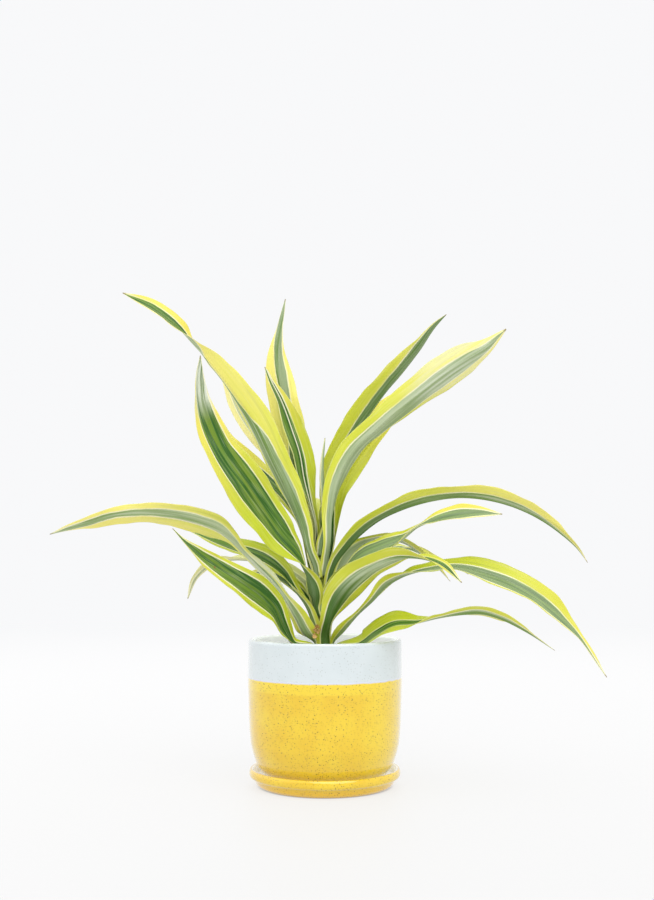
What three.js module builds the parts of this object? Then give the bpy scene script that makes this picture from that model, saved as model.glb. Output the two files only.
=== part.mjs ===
// Potted dracaena: long two-tone leaves on a short stem, in a glazed pot on its saucer.
// Millimetres, +Z up. The origin is the middle of the saucer's underside, and +Y is the back.
import * as THREE from 'three';

// Driving dimensions
const potRadius = 65;
const potRimHeight = 121.5;
const potWall = 4;
const potFloorTop = 10.5;
const drainHoleRadius = 6;
const saucerLipRadius = 63.4;
const saucerHeight = 14.8;
const soilTop = 103;
const stemTop = 192;
const stemRadius = 5;
const stemTopRadius = 3.4;
const stemLean = -4;
const leafThickness = 0.9;
const leafEdgeThickness = 0.7;
const leafTipWidth = 1.4;
const leafGap = 0.35; // between the stem and a leaf's foot
const leafBaseWidth = 9;
const leafBaseWrap = 40; // degrees that each half of a leaf's foot turns round the stem
const stationGap = 15; // spacing of the cross-sections along a leaf
const pointsAcross = 7;
const roundSides = 44;

const degrees = Math.PI / 180;
const root = new THREE.Group();

// One material per kind of surface
const glazeYellow = new THREE.MeshStandardMaterial({ color: '#efc63f', roughness: 0.22, metalness: 0 });
const saucerYellow = new THREE.MeshStandardMaterial({ color: '#eec23a', roughness: 0.22, metalness: 0 });
const leafLime = new THREE.MeshStandardMaterial({ color: '#b9c455', roughness: 0.42, metalness: 0 });
const stemBrown = new THREE.MeshStandardMaterial({ color: '#8b7a4a', roughness: 0.8, metalness: 0 });
const soilBrown = new THREE.MeshStandardMaterial({ color: '#3b2c20', roughness: 0.95, metalness: 0 });

function addMesh(name, geometry, material) {
  const mesh = new THREE.Mesh(geometry, material);
  mesh.name = name;
  root.add(mesh);
}

// A turned shape: the profile is a list of [radius, height] pairs going round the cut face.
function turned(profile) {
  const points = profile.map(([radius, height]) => new THREE.Vector2(radius, height));
  const geometry = new THREE.LatheGeometry(points, roundSides);
  geometry.rotateX(Math.PI / 2);
  return geometry;
}

// Saucer: flat foot, a sloping body and a thick rounded lip that stands out past it
addMesh('saucer', turned([
  [0, 0], [54.5, 0], [57.4, 2.2], [59.6, 7.2],
  [62.4, 7.8], [saucerLipRadius, 9.6], [saucerLipRadius, 12.6], [62.4, saucerHeight - 0.4],
  [61.2, saucerHeight], [59.8, saucerHeight - 0.5], [59.2, 12], [57.6, 8], [54.6, 5.4], [50, 5], [0, 5],
]), saucerYellow);

// Pot: outside, rounded rim, inside, then the drain hole
const innerRadius = potRadius - potWall;
addMesh('pot', turned([
  [drainHoleRadius, 6.3], [40, 6.3], [41, 5.3], [46, 5.3], [50, 8.7], [52.5, 11.9], [56, 16], [58, 20],
  [60.4, 27], [62.4, 35], [63.5, 47], [64.2, 62], [potRadius, 86],
  [potRadius, potRimHeight - 1.6], [potRadius - 0.9, potRimHeight - 0.3], [potRadius - 2, potRimHeight],
  [potRadius - 3.1, potRimHeight - 0.3], [innerRadius, potRimHeight - 1.6],
  [innerRadius, 86], [60, 60], [58, 36], [54, 22], [47, 13], [42, potFloorTop],
  [drainHoleRadius, potFloorTop], [drainHoleRadius, 6.3],
]), glazeYellow);

// The stem's axis leans a little to the left above the soil.
function stemAxisX(height) {
  const share = THREE.MathUtils.clamp((height - soilTop) / 40, 0, 1);
  return stemLean * share * share * (3 - 2 * share);
}

// A closed body from a list of rings, each ring an array of points. The two ends are closed
// by strips that join the first half of the ring to the second half.
function skin(rings) {
  const count = rings[0].length;
  const positions = [];
  for (const ring of rings) for (const point of ring) positions.push(point.x, point.y, point.z);
  const index = [];
  const half = count / 2;
  for (let i = 0; i < rings.length - 1; i++) {
    for (let j = 0; j < count; j++) {
      const a = i * count + j;
      const b = i * count + ((j + 1) % count);
      // The two faces are split along the same diagonal.
      if (j < half) index.push(a, b, b + count, a, b + count, a + count);
      else index.push(a, b, a + count, b, b + count, a + count);
    }
  }
  const last = (rings.length - 1) * count;
  for (let j = 0; j < half - 1; j++) {
    const low = j;
    const high = count - 1 - j;
    index.push(low, high, high - 1, low, high - 1, low + 1);
    index.push(last + low, last + high - 1, last + high, last + low, last + low + 1, last + high - 1);
  }
  const geometry = new THREE.BufferGeometry();
  geometry.setAttribute('position', new THREE.Float32BufferAttribute(positions, 3));
  geometry.setIndex(index);
  // Turned the right way out if the volume comes out negative
  let volume = 0;
  const [p, q, r] = [new THREE.Vector3(), new THREE.Vector3(), new THREE.Vector3()];
  const spot = geometry.attributes.position;
  for (let k = 0; k < index.length; k += 3) {
    p.fromBufferAttribute(spot, index[k]);
    q.fromBufferAttribute(spot, index[k + 1]);
    r.fromBufferAttribute(spot, index[k + 2]);
    volume += p.dot(q.cross(r));
  }
  if (volume < 0) {
    for (let k = 0; k < index.length; k += 3) [index[k + 1], index[k + 2]] = [index[k + 2], index[k + 1]];
    geometry.setIndex(index);
  }
  return geometry;
}

// The stem thins evenly from the soil to its top.
function stemRadiusAt(height) {
  const share = THREE.MathUtils.clamp((height - soilTop) / (stemTop - soilTop), 0, 1);
  return stemRadius + (stemTopRadius - stemRadius) * share;
}

// Stem: upright in its hole in the soil, then leaning
const stemRings = [];
for (const height of [70, soilTop, 111, 119, 127, 135, 143, 160, 176, stemTop]) {
  const radius = stemRadiusAt(height);
  const ring = [];
  for (let k = 0; k < 16; k++) {
    const angle = k * Math.PI / 8;
    const x = stemAxisX(height) + radius * Math.cos(angle);
    ring.push(new THREE.Vector3(x, radius * Math.sin(angle), height));
  }
  stemRings.push(ring);
}
addMesh('stem', skin(stemRings), stemBrown);

// Soil: fills the pot, with a blind hole for the stem
addMesh('soil', turned([
  [0, potFloorTop + 0.3], [41.7, potFloorTop + 0.3], [46.7, 13.3], [53.6, 22.2], [57.6, 36.2], [59.6, 60],
  [innerRadius - 0.4, 86], [innerRadius - 0.4, 100.5], [48, 102], [20, soilTop], [5.6, soilTop], [5.6, 69.6],
  [0, 69.6],
]), soilBrown);

// A smooth curve through the rows of a table: cubic steps with slopes taken from the
// neighbouring rows, then evenly spaced samples by length.
function smoothRows(rows, gap) {
  const size = rows[0].length;
  const lengths = [0];
  for (let i = 1; i < rows.length; i++) {
    lengths.push(lengths[i - 1] + Math.hypot(
      rows[i][0] - rows[i - 1][0], rows[i][1] - rows[i - 1][1], rows[i][2] - rows[i - 1][2]));
  }
  const step = (i, c) => (rows[i + 1][c] - rows[i][c]) / (lengths[i + 1] - lengths[i]);
  const slope = (i, c) => {
    if (i === 0) return step(0, c);
    if (i === rows.length - 1) return step(i - 1, c);
    const before = lengths[i] - lengths[i - 1];
    const after = lengths[i + 1] - lengths[i];
    return (step(i - 1, c) * after + step(i, c) * before) / (before + after);
  };
  const total = lengths[rows.length - 1];
  const count = Math.max(6, Math.round(total / gap)) + 1;
  const samples = [];
  for (let k = 0; k < count; k++) {
    const at = total * k / (count - 1);
    let i = 0;
    while (i < rows.length - 2 && lengths[i + 1] < at) i++;
    const span = lengths[i + 1] - lengths[i];
    const q = (at - lengths[i]) / span;
    const row = [];
    for (let c = 0; c < size; c++) {
      row.push((2 * q ** 3 - 3 * q ** 2 + 1) * rows[i][c] + (q ** 3 - 2 * q ** 2 + q) * span * slope(i, c)
        + (3 * q ** 2 - 2 * q ** 3) * rows[i + 1][c] + (q ** 3 - q ** 2) * span * slope(i + 1, c));
    }
    samples.push({ at, row });
  }
  return { samples, total };
}

// A leaf: a strap that starts wrapped round the stem and follows its rows of
// [x, y, z, width, roll, cup]. Roll turns the blade about its midrib; cup is how far each
// half has turned up by its margin, both in degrees. The margins wave gently.
function leafGeometry({ azimuth, foot, rows, wave = 1.2, phase = 0 }) {
  const outX = Math.cos(azimuth * degrees);
  const outY = Math.sin(azimuth * degrees);
  const start = [0, 1].map((k) => {
    const height = foot + 9 * k;
    const reach = stemRadiusAt(height) + leafThickness / 2 + leafGap + 1.6 * k;
    return [stemAxisX(height) + reach * outX, reach * outY, height,
      leafBaseWidth, 0, leafBaseWrap - 6 * k];
  });
  const { samples, total } = smoothRows([...start, ...rows], stationGap);
  const centres = samples.map(({ row }) => new THREE.Vector3(row[0], row[1], row[2]));
  const sideways = new THREE.Vector3(outY, -outX, 0);
  const grid = samples.map(({ at, row }, i) => {
    const ahead = centres[Math.min(i + 1, centres.length - 1)].clone()
      .sub(centres[Math.max(i - 1, 0)]).normalize();
    const across = sideways.clone().addScaledVector(ahead, -sideways.dot(ahead)).normalize();
    const up = across.clone().cross(ahead);
    across.applyAxisAngle(ahead, -row[4] * degrees);
    up.applyAxisAngle(ahead, -row[4] * degrees);
    const halfWidth = Math.max(row[3], leafTipWidth) / 2;
    const power = THREE.MathUtils.clamp(1 - at / 60, 0.35, 1);
    const fade = THREE.MathUtils.clamp((at - 40) / 40, 0, 1) * THREE.MathUtils.clamp((total - at) / 40, 0, 1);
    const line = [];
    for (let j = 0; j < pointsAcross; j++) {
      const u = 2 * j / (pointsAcross - 1) - 1;
      // Arc across the leaf: the turn grows from the midrib to the margin.
      let reach = 0;
      let rise = 0;
      const slices = 12;
      for (let k = 0; k < slices; k++) {
        const turn = row[5] * degrees * (Math.abs(u) * (k + 0.5) / slices) ** power;
        reach += Math.cos(turn) * Math.abs(u) / slices;
        rise += Math.sin(turn) * Math.abs(u) / slices;
      }
      const side = u < 0 ? phase : phase + 2.1;
      const ripple = wave * fade * Math.abs(u) ** 2 * Math.sin(at / 9.5 + side);
      line.push(centres[i].clone()
        .addScaledVector(across, Math.sign(u) * reach * halfWidth)
        .addScaledVector(up, rise * halfWidth + ripple));
    }
    return line;
  });
  const rings = grid.map((line, i) => {
    const upper = [];
    const lower = [];
    line.forEach((point, j) => {
      const along = grid[Math.min(i + 1, grid.length - 1)][j].clone().sub(grid[Math.max(i - 1, 0)][j]);
      const aside = line[Math.min(j + 1, pointsAcross - 1)].clone().sub(line[Math.max(j - 1, 0)]);
      const normal = aside.cross(along).normalize();
      const edge = j === 0 || j === pointsAcross - 1;
      const half = (edge ? leafEdgeThickness : leafThickness) / 2;
      upper.push(point.clone().addScaledVector(normal, half));
      lower.push(point.clone().addScaledVector(normal, -half));
    });
    return [...upper, ...lower.reverse()];
  });
  return skin(rings);
}

// Leaves, from the lowest to the youngest. Each row is [x, y, z, width, roll, cup].
const leaves = {
  leaf_right_low: { azimuth: 322, foot: 103.5, phase: 0.4, rows: [
    [29, -23, 116, 36, -32, 25], [42, -31, 126, 38, -38, 20], [55, -38, 134, 32, -34, 20],
    [73.5, -46, 137, 22, -26, 20], [91, -52, 141.5, 13, -5, 20], [109, -58, 144.5, 18, 20, 20],
    [124.5, -62, 145.5, 20, 30, 20], [140, -66, 141, 18, 30, 20], [157, -69, 132.5, 12, 30, 20],
    [180.5, -72, 117, 1, 25, 20]] },
  leaf_left_low: { azimuth: 232, foot: 104.5, phase: 1.9, rows: [
    [-25, -19, 117, 18, 40, 34], [-35, -26, 131, 24, 74, 26], [-42, -33, 147, 28, 82, 22],
    [-53, -43, 159, 28, 90, 18], [-65, -54, 168, 26, 90, 18], [-82, -67, 180, 20, 86, 18],
    [-99, -79, 192.5, 12, 80, 18], [-109, -86, 201.5, 6, 70, 20], [-118, -92, 212, 1, 60, 20]] },
  leaf_right_drooping: { azimuth: 352, foot: 107, phase: 3.1, rows: [
    [16, -11, 129, 17, 20, 40], [27, -16, 142, 9, 15, 40], [39.5, -22, 154, 13, 22, 36],
    [51, -26, 166, 18, 26, 32], [65, -30, 174.5, 17, 4, 30], [85.5, -34, 180, 17, -25, 25],
    [107, -38, 182, 23, -32, 22], [131.5, -41, 177, 27, -40, 20], [155.5, -44, 168, 28, -45, 20],
    [179.5, -46, 153, 23, -45, 20], [201, -48, 131, 12, -40, 20], [226, -50, 94, 1, -30, 20]] },
  leaf_left_arching: { azimuth: 172, foot: 109, phase: 4.4, rows: [
    [-15, -5, 124, 20, -50, 38], [-24, -9, 139, 20, -60, 32], [-34, -13, 156, 11, -55, 32],
    [-46, -16, 171, 14, -55, 30], [-58, -18, 183, 12, -45, 30], [-70, -20, 195, 13, -42, 30],
    [-79, -21.5, 204, 20, -50, 26], [-88, -23, 210.5, 26, -56, 24], [-104, -25, 217, 27, -52, 22],
    [-119, -28, 221, 28, -48, 22], [-137, -30, 223.5, 27, -46, 22], [-163, -33, 223.5, 20, -44, 22],
    [-180, -35, 221, 19, -42, 22], [-193, -37, 217, 17, -40, 22], [-207, -39, 213.5, 11, -30, 26],
    [-225.5, -40, 208.5, 1, -15, 30]] },
  leaf_front_lime: { azimuth: 286, foot: 113, phase: 5.6, rows: [
    [3, -16, 138, 15, 0, 40], [9, -21, 152, 24, 14, 28], [17, -28, 163.5, 29, 22, 24],
    [29, -36, 174.5, 28, 22, 26], [44, -46, 183.5, 25, 20, 28], [60, -55, 189, 23, 14, 28],
    [76, -62, 189, 21, 12, 26], [92, -69, 184, 14, 14, 22], [107.5, -76, 170, 1, 10, 22]] },
  leaf_back_low_left: { azimuth: 120, foot: 117, phase: 0.9, rows: [
    [-13, 15, 148, 16, 0, 45], [-28, 26, 164, 21, 5, 34], [-50, 42, 174, 22, 8, 28],
    [-70, 54, 174, 15, 8, 26], [-85, 62, 168, 1, 8, 26]] },
  leaf_back_low_right: { azimuth: 36, foot: 113, phase: 2.2, rows: [
    [9, 15, 148, 17, 0, 45], [24, 28, 172, 21, -5, 34], [46, 47, 190, 22, -8, 30],
    [72, 65, 198, 22, -8, 28], [97, 80, 189, 18, -8, 28], [118, 91, 183, 11, -8, 28],
    [134, 98, 174, 1, -8, 28]] },
  leaf_left_middle: { azimuth: 208, foot: 122, phase: 3.6, rows: [
    [-16, -3, 149, 14, 14, 46], [-27, 0, 164, 15, 45, 34], [-36, 3, 177, 19, 66, 26],
    [-48, 7, 187, 22, 66, 22], [-62, 11, 193.5, 24, 58, 22], [-81, 16, 199, 24, 45, 22],
    [-98.5, 19, 205, 18, 42, 22], [-113.5, 22, 211, 10, 40, 22], [-127, 25, 216.5, 1, 38, 22]] },
  leaf_right_behind: { azimuth: 21, foot: 128, phase: 4.9, rows: [
    [8.5, 8, 158, 15, 16, 48], [15.5, 12.5, 176, 23, 48, 36], [24, 15, 189, 26, 56, 28],
    [38, 16, 198.5, 25, 44, 26], [55, 17, 205, 24, 14, 28], [69, 18, 202, 22, -16, 30],
    [83, 20, 193, 18, -22, 32], [97, 22, 182, 11, -22, 34], [109, 23, 169, 1, -20, 34]] },
  leaf_left_thin: { azimuth: 114, foot: 131, phase: 6.1, rows: [
    [-15, 18, 164, 13, 0, 46], [-40, 32, 181, 16, 0, 38], [-67, 44, 187, 16, 0, 35],
    [-88, 55, 187, 14, 0, 35], [-107, 66, 181, 11, 0, 35], [-119.5, 73, 169, 7, 0, 35],
    [-126, 78, 152, 1, 0, 35]] },
  leaf_back_middle: { azimuth: 76, foot: 141, phase: 1.3, rows: [
    [-3, 17, 171, 14, 0, 46], [-2, 31, 196, 20, 0, 36], [0, 52, 220, 25, 0, 30],
    [2, 80, 238, 26, 0, 26], [3, 112, 243, 25, 0, 25], [4, 145, 234, 20, 0, 25],
    [5, 170, 214, 12, 0, 25], [6, 186, 192, 1, 0, 25]] },
  leaf_right_twisted: { azimuth: 318, foot: 142, phase: 2.7, rows: [
    [9, -11, 168, 15, -5, 50], [17, -15, 178, 18, -22, 40], [29.5, -20, 189, 24, -38, 28],
    [44.5, -26, 196, 27, -46, 25], [61, -32, 202.5, 25, -42, 25], [77, -38, 215, 9, -20, 25],
    [91, -43, 220.5, 19, -42, 25], [106, -47, 224, 21, -48, 25], [124.5, -51, 225.5, 13, -48, 25],
    [143.5, -54, 224.5, 1, -44, 25]] },
  leaf_left_broad: { azimuth: 212, foot: 140, phase: 4.0, rows: [
    [-9.5, -9, 158, 17, -30, 50], [-12, -12.5, 168, 18, -24, 46], [-16, -15.5, 177, 15, 6, 40],
    [-20, -18, 185, 13, 46, 34], [-26, -21.5, 193, 21, 68, 26],
    [-36.5, -27, 204, 32, 78, 20], [-49, -34, 221.5, 40, 80, 18], [-68, -45, 249, 43, 80, 18],
    [-88.5, -54, 280.5, 34, 76, 18], [-100.5, -58, 311, 23, 72, 22], [-103, -60, 338, 11, 65, 30],
    [-101.5, -60, 353.5, 1, 60, 30]] },
  leaf_right_arching: { azimuth: 352, foot: 151, phase: 5.3, rows: [
    [9, -6, 184, 17, 5, 54], [18.5, -9, 197, 21, 8, 50], [29.5, -11, 208.5, 25, 9, 46],
    [46.5, -13, 221.5, 28, 10, 44], [63.5, -15, 229.5, 29, 10, 44], [88.5, -17, 237, 29, 11, 43],
    [113.5, -20, 240, 29, 12, 43], [138, -22, 237.5, 29, 12, 43], [171, -25, 226, 27, 14, 42],
    [196, -27, 209.5, 12, 7, 40], [209.5, -29, 196.5, 7, 4, 38], [217, -30, 185.5, 1, 0, 38]] },
  leaf_back_left: { azimuth: 128, foot: 149, phase: 0.2, rows: [
    [-13, 15, 184, 14, 0, 46], [-17, 26, 208, 17, 4, 40], [-30, 42, 235, 22, 8, 32],
    [-57, 60, 263, 25, 12, 28], [-88, 76, 290, 23, 14, 26], [-107, 88, 318, 16, 14, 26],
    [-116, 96, 340, 9, 14, 26], [-118, 100, 356, 1, 14, 26]] },
  leaf_back_right: { azimuth: 85, foot: 157, phase: 1.6, rows: [
    [-2, 14, 190, 13, 0, 46], [2, 25, 214, 15, 0, 44], [7, 35, 242, 18, -4, 36],
    [16, 47, 270, 23, -8, 30], [38, 62, 302, 26, -10, 26], [66, 78, 331, 24, -12, 26],
    [92, 92, 347, 18, -12, 26], [115, 102, 358, 11, -12, 26], [132, 110, 368, 1, -12, 26]] },
  leaf_left_pale: { azimuth: 155, foot: 165.5, phase: 2.9, rows: [
    [-14.5, 9.5, 192, 12, 8, 50], [-16, 15, 212, 16, 20, 40], [-25, 26, 243, 22, 28, 34],
    [-43, 36, 278, 27, 35, 30], [-65.5, 40, 304, 28, 38, 30], [-75, 42, 318, 24, 40, 30],
    [-86.5, 45, 343, 14, 40, 30], [-97, 47, 363, 1, 40, 30]] },
  leaf_right_waved: { azimuth: 33, foot: 167, phase: 4.2, wave: 2.0, rows: [
    [7.5, 5, 202, 10, -5, 46], [10, 7, 224, 13, -18, 36], [14, 8, 246, 18, -32, 25],
    [24, 9.5, 266, 20, -38, 25], [36, 11, 283, 19, -38, 25], [48, 12, 298, 15, -38, 25],
    [58, 13, 309, 8, -38, 25], [66, 14, 318, 1, -38, 25]] },
  leaf_left_tall: { azimuth: 212, foot: 172, phase: 5.5, wave: 0.9, rows: [
    [-15, -7.5, 197, 14, -5, 52], [-20, -10.5, 216, 19, -18, 48], [-29, -14, 240, 24, -28, 44],
    [-45.5, -18, 275, 29, -32, 42], [-62, -22, 308, 30, -28, 42], [-79.5, -25, 333, 27, -20, 40],
    [-97, -28, 354, 20, -8, 34], [-111, -30, 369, 15, 15, 28], [-124, -32, 383, 18, 58, 22],
    [-145, -34, 399.5, 16, 66, 22], [-170, -35, 411, 1, 66, 22]] },
  leaf_right_broad: { azimuth: 335, foot: 174, phase: 0.7, wave: 0.9, rows: [
    [4, -8.5, 204, 12, 8, 50], [5, -11, 226, 16, 22, 48], [10.5, -13, 254, 22, 34, 44],
    [23, -15, 278, 24, 38, 42], [45, -17, 299.5, 25, 40, 40], [72, -18, 322, 29, 46, 34],
    [103, -19, 346, 32, 54, 26], [122.5, -20, 359, 26, 58, 22], [134, -20, 366, 17, 60, 22],
    [154, -21, 383, 1, 60, 22]] },
  leaf_upright: { azimuth: 165, foot: 178, phase: 2.0, rows: [
    [-15, 3, 204, 11, -15, 48], [-20, 6, 226, 14, -40, 42], [-26, 8, 255, 20, -75, 32],
    [-33, 9, 305, 30, -90, 25], [-38, 9, 328, 29, -88, 22], [-41.5, 9, 347, 26, -88, 22],
    [-43.5, 10, 367, 18, -85, 26], [-41, 10, 388, 8.5, -80, 28], [-35, 10, 416, 1, -60, 30]] },
  leaf_right_tall: { azimuth: 45, foot: 182, phase: 3.3, wave: 0.6, rows: [
    [-0.5, 9, 212, 11, 15, 46], [0, 14, 230, 17, 42, 44], [4, 18.5, 252, 24, 62, 42],
    [13, 20.5, 276, 31, 68, 40], [28, 21.5, 301, 35, 70, 38], [53, 22, 336, 33, 68, 38],
    [84, 22, 373, 23, 60, 38], [98, 23, 394, 11, 50, 38], [108, 23, 405, 1, 45, 38]] },
  leaf_folded: { azimuth: 152, foot: 187, phase: 4.6, wave: 0.7, rows: [
    [-8.5, 2, 214, 9, 5, 52], [-14, 0.5, 238, 13, 12, 46], [-18.5, -1, 256, 22, 20, 40],
    [-22.5, -2.5, 278.5, 26, 25, 36], [-29.5, -4, 300, 24, 28, 36], [-38, -5, 323, 15, 30, 38],
    [-47.5, -5, 342, 7, 30, 40], [-52, -5, 353, 1, 30, 40]] },
  leaf_bud: { azimuth: 298, foot: 191, phase: 5.9, wave: 0.3, rows: [
    [0.5, -2.5, 218, 6, 0, 50], [-1, -3, 242, 6, 0, 50], [-2, -2, 266, 5, 0, 50],
    [0, -1, 292, 1, 0, 50]] },
};

for (const [name, leaf] of Object.entries(leaves)) {
  addMesh(name, leafGeometry(leaf), leafLime);
}

export default root;
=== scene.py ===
import bpy
import bmesh
import numpy as np
from math import radians, pi
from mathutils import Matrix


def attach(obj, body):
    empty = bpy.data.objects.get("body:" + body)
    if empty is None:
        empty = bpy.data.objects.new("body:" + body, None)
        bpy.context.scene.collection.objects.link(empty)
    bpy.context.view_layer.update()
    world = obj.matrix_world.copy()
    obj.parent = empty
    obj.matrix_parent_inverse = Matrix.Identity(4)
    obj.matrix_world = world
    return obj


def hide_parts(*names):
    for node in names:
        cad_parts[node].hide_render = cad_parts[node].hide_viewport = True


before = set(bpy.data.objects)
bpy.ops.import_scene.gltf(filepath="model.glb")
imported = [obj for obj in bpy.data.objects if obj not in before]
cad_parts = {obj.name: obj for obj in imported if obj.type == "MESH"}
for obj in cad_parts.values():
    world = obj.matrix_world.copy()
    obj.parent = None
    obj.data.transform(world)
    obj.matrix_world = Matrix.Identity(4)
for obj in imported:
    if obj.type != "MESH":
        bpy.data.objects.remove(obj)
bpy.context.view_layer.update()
mm = 0.001
print("frame loaded:", len(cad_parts), "nodes")

# Camera: where the photograph was taken from, in millimetres and degrees
view = {"place": (1.7, -985, 190), "tilt": 5.32, "lens": 46, "sensor": 36, "sightMetres": 100}
eye = bpy.data.cameras.new("camera")
eye.lens = view["lens"]
eye.sensor_width = view["sensor"]
eye.clip_end = view["sightMetres"]
camera = bpy.data.objects.new("camera", eye)
camera.location = [place * mm for place in view["place"]]
camera.rotation_euler = (radians(90 + view["tilt"]), 0, 0)
bpy.context.scene.collection.objects.link(camera)
bpy.context.scene.camera = camera
print("camera placed")


def tint(red, green, blue):
    # A colour as seen on a screen, 0 to 255, as the renderer's own linear colour
    screen = np.array([red, green, blue]) / 255
    linear = np.where(screen < 0.04045, screen / 12.92, ((screen + 0.055) / 1.055) ** 2.4)
    return (*map(float, linear), 1)


black, white = (0, 0, 0, 1), (1, 1, 1, 1)


class Wire:
    # A node's output; sums and products with it add Math nodes
    def __init__(self, mixer, socket):
        self.mixer = mixer
        self.socket = socket

    def math(self, operation, *values):
        return self.mixer.node("Math", {"operation": operation}, dict(enumerate(values)))

    def __add__(self, other):
        return self.math("ADD", self, other)

    def __sub__(self, other):
        return self.math("SUBTRACT", self, other)

    def __rsub__(self, other):
        return self.math("SUBTRACT", other, self)

    def __mul__(self, other):
        return self.math("MULTIPLY", self, other)

    def __pow__(self, other):
        return self.math("POWER", self, other)

    __radd__ = __add__
    __rmul__ = __mul__


class Mixer:
    # Adds nodes to a tree, a material's or the world's
    def __init__(self, tree):
        self.tree = tree

    def node(self, kind, settings, inputs, output=0):
        made = self.tree.nodes.new("ShaderNode" + kind)
        for name, value in settings.items():
            setattr(made, name, value)
        for name, value in inputs.items():
            self.feed(made.inputs[name], value)
        return Wire(self, made.outputs[output])

    def feed(self, socket, value):
        if isinstance(value, Wire):
            self.tree.links.new(value.socket, socket)
        else:
            socket.default_value = value

    def attribute(self, name):
        return self.node("Attribute", {"attribute_name": name}, {}, "Fac")

    def place(self):
        return self.node("TexCoord", {}, {}, "Object")

    def parts(self, vector):
        split = self.node("SeparateXYZ", {}, {0: vector}).socket.node
        return [Wire(self, output) for output in split.outputs]

    def inMillimetres(self, place):
        return [part * (1 / mm) for part in self.parts(place)]

    def joined(self, x, y, z):
        return self.node("CombineXYZ", {}, {0: x, 1: y, 2: z})

    def noise(self, vector, scale, detail, roughness=0.5):
        wanted = {"Vector": vector, "Scale": scale, "Detail": detail, "Roughness": roughness}
        return self.node("TexNoise", {}, wanted)

    def smooth(self, value, low, high):
        # 0 below low and 1 above high, with an even turn between
        return self.node("MapRange", {"interpolation_type": "SMOOTHSTEP"}, {0: value, 1: low, 2: high})

    def mix(self, factor, first, second):
        # From the first colour at factor 0 to the second at 1; sockets 6 and 7 are the colours
        return self.node("Mix", {"data_type": "RGBA"}, {0: factor, 6: first, 7: second}, 2)


class Paint(Mixer):
    # A material being mixed: it starts from one Principled shader with the fixed values given
    def __init__(self, name, fixed):
        self.material = bpy.data.materials.new(name)
        self.material.use_nodes = True
        super().__init__(self.material.node_tree)
        self.surface = self.tree.nodes["Principled BSDF"]
        for socket, value in fixed.items():
            self.surface.inputs[socket].default_value = value

    def show(self, socket, value):
        self.feed(self.surface.inputs[socket], value)

    def bump(self, height, metres, strength):
        relief = {"Height": height, "Distance": metres, "Strength": strength}
        self.show("Normal", self.node("Bump", {}, relief))


weldWithin = 1e-7    # metres, so only points that coincide are joined


def meshPiece(name, points, faces, material, slot, node=None, floats=None):
    # points are places in millimetres, in an array of any shape, and faces is (n, 4); floats are the
    # mesh's named values per point
    mesh = bpy.data.meshes.new(name)
    mesh.from_pydata(points.reshape(-1, 3) * mm, [], faces.tolist())
    for label, values in (floats or {}).items():
        stored = mesh.attributes.new(label, "FLOAT", "POINT").data
        stored.foreach_set("value", np.ravel(values).astype(np.float32))
    mesh.polygons.foreach_set("use_smooth", np.ones(len(mesh.polygons), bool))
    welded = bmesh.new()
    welded.from_mesh(mesh)
    bmesh.ops.remove_doubles(welded, verts=welded.verts[:], dist=weldWithin)
    welded.to_mesh(mesh)
    welded.free()
    mesh.materials.append(material)
    mesh.update()
    piece = bpy.data.objects.new(name, mesh)
    bpy.context.scene.collection.objects.link(piece)
    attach(piece, "root")
    if node:
        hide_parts(node)


def gridFaces(rows, columns):
    # Quads of a grid whose columns close on themselves
    row, column = np.meshgrid(np.arange(rows - 1), np.arange(columns), indexing="ij")
    here, after = row * columns, (column + 1) % columns
    corners = [here + column, here + after, here + columns + after, here + columns + column]
    return np.stack(corners, -1).reshape(-1, 4)


def strapFaces(rows, columns):
    # A flat strap whose columns run along its upper face and back along its lower one: the grid,
    # and a row of quads that closes each end
    k = np.arange(columns // 2 - 1)
    foot = np.stack([k, columns - 1 - k, columns - 2 - k, k + 1], -1)
    tip = np.stack([k, k + 1, columns - 2 - k, columns - 1 - k], -1) + (rows - 1) * columns
    return np.vstack([gridFaces(rows, columns), foot, tip])


def circle(sides):
    return np.linspace(0, 2 * pi, sides, endpoint=False)[None, :]


def aroundAxis(radius, angle, height, shift=0):
    # Places on circles round the upright axis, or round one shifted to the right
    return np.stack([shift + radius * np.cos(angle), radius * np.sin(angle), height + 0 * angle], -1)


def turned(first, second, angle):
    # Two coordinates, turned about the third axis
    return first * np.cos(angle) - second * np.sin(angle), first * np.sin(angle) + second * np.cos(angle)


def smoothProfile(corners, step, soft):
    # An outline of straight lines, rounded: evenly spaced points along the lines, then averaged
    # with a bell-shaped weight whose width is soft, with the two ends held
    corners = np.array(corners, float)
    lengths = np.concatenate([[0], np.cumsum(np.linalg.norm(np.diff(corners, axis=0), axis=1))])
    at = np.linspace(0, lengths[-1], int(lengths[-1] / step) + 1)
    line = np.stack([np.interp(at, lengths, corners[:, k]) for k in (0, 1)], 1)
    weight = np.exp(-0.5 * ((at[:, None] - at[None, :]) / soft) ** 2)
    rounded = weight @ line / weight.sum(1)[:, None]
    hold = np.clip(np.minimum(at, lengths[-1] - at) / (3 * soft), 0, 1)[:, None]
    return line + (rounded - line) * hold


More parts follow.
